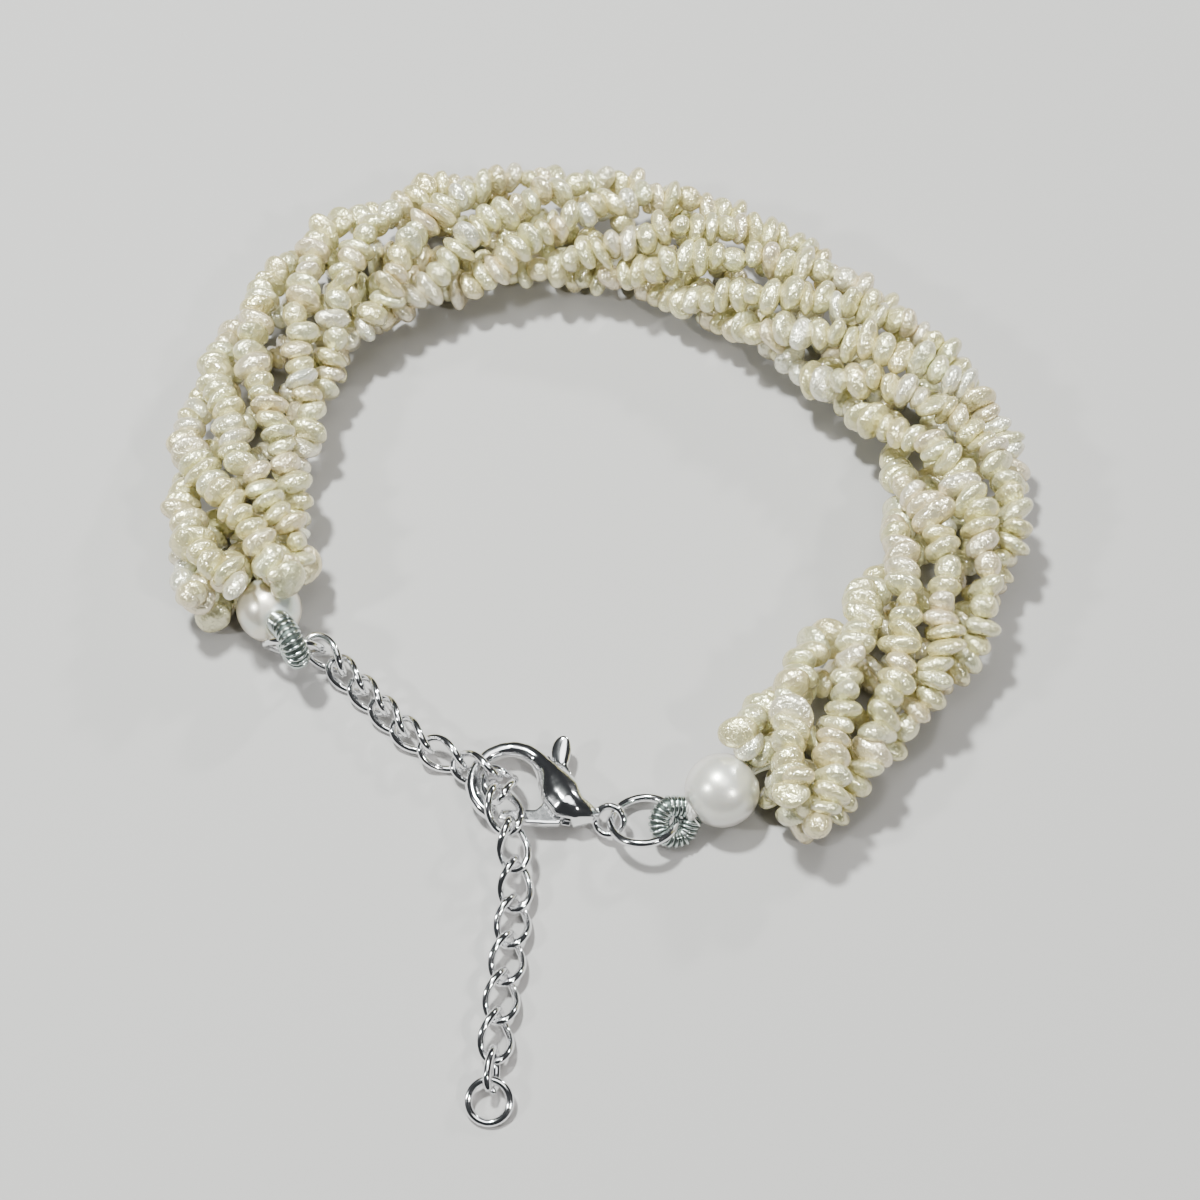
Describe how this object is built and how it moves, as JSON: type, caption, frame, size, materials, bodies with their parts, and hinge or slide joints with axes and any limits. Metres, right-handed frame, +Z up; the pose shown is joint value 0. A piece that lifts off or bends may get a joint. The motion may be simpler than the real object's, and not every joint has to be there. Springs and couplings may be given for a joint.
{
  "type": "bracelet",
  "caption": "Bracelet of twisted strands of small freshwater pearls, with a round pearl at each end, a lobster clasp with a sprung lever, and an extender chain.",
  "frame": {"origin": "centre of the bounding box's footprint, on the surface that the bracelet lies on", "axes": "+Z up from the surface, +Y from the clasp and chain's side towards the back of the loop of pearls, +X to the right seen from the front"},
  "size_m": [0.0686, 0.0818, 0.0087],
  "materials": {
    "small_pearls": "nacre, glossy, ivory to cream",
    "round_pearl_ivory": "nacre, glossy, ivory with a faint pink and blue sheen",
    "round_pearl_silver": "nacre, glossy, silvery white",
    "silver_clasp": "polished silver plate, cast",
    "silver_wire": "polished silver plate, drawn wire",
    "wrapping_coil": "fine bright wire, closely coiled",
    "silk_thread": "white thread, slightly translucent"
  },
  "bodies": {
    "bracelet": {"clasp_body": "silver_clasp", "jump_ring_left": "silver_wire", "jump_ring_right": "silver_wire", "link_1": "silver_wire", "link_2": "silver_wire", "link_3": "silver_wire", "link_4": "silver_wire", "link_before_hook": "silver_wire", "link_near_hook": "silver_wire", "link_hooked": "silver_wire", "link_climbing": "silver_wire", "link_crossing": "silver_wire", "tail_1": "silver_wire", "tail_2": "silver_wire", "tail_3": "silver_wire", "tail_4": "silver_wire", "tail_5": "silver_wire", "tail_6": "silver_wire", "open_link": "silver_wire", "end_ring": "silver_wire", "end_pearl_left": "round_pearl_ivory", "end_pearl_right": "round_pearl_silver", "thread_left": "silk_thread", "thread_right": "silk_thread", "wrapped_loop_left": "wrapping_coil", "wrapped_loop_right": "wrapping_coil", "strand_1": "small_pearls", "strand_2": "small_pearls", "strand_3": "small_pearls", "strand_4": "small_pearls", "strand_5": "small_pearls", "strand_6": "small_pearls"},
    "clasp_lever": {"clasp_lever": "silver_clasp"}
  },
  "joints": [
    {"name": "clasp_lever_pivot", "type": "hinge", "parent": "bracelet", "child": "clasp_lever", "pos_m": [-0.00274, -0.01629, 0.0015], "axis": [0, 0, -1], "range_deg": [0, 22], "stiffness_Nm_per_rad": 0.006, "springref_deg": -20.05}
  ]
}
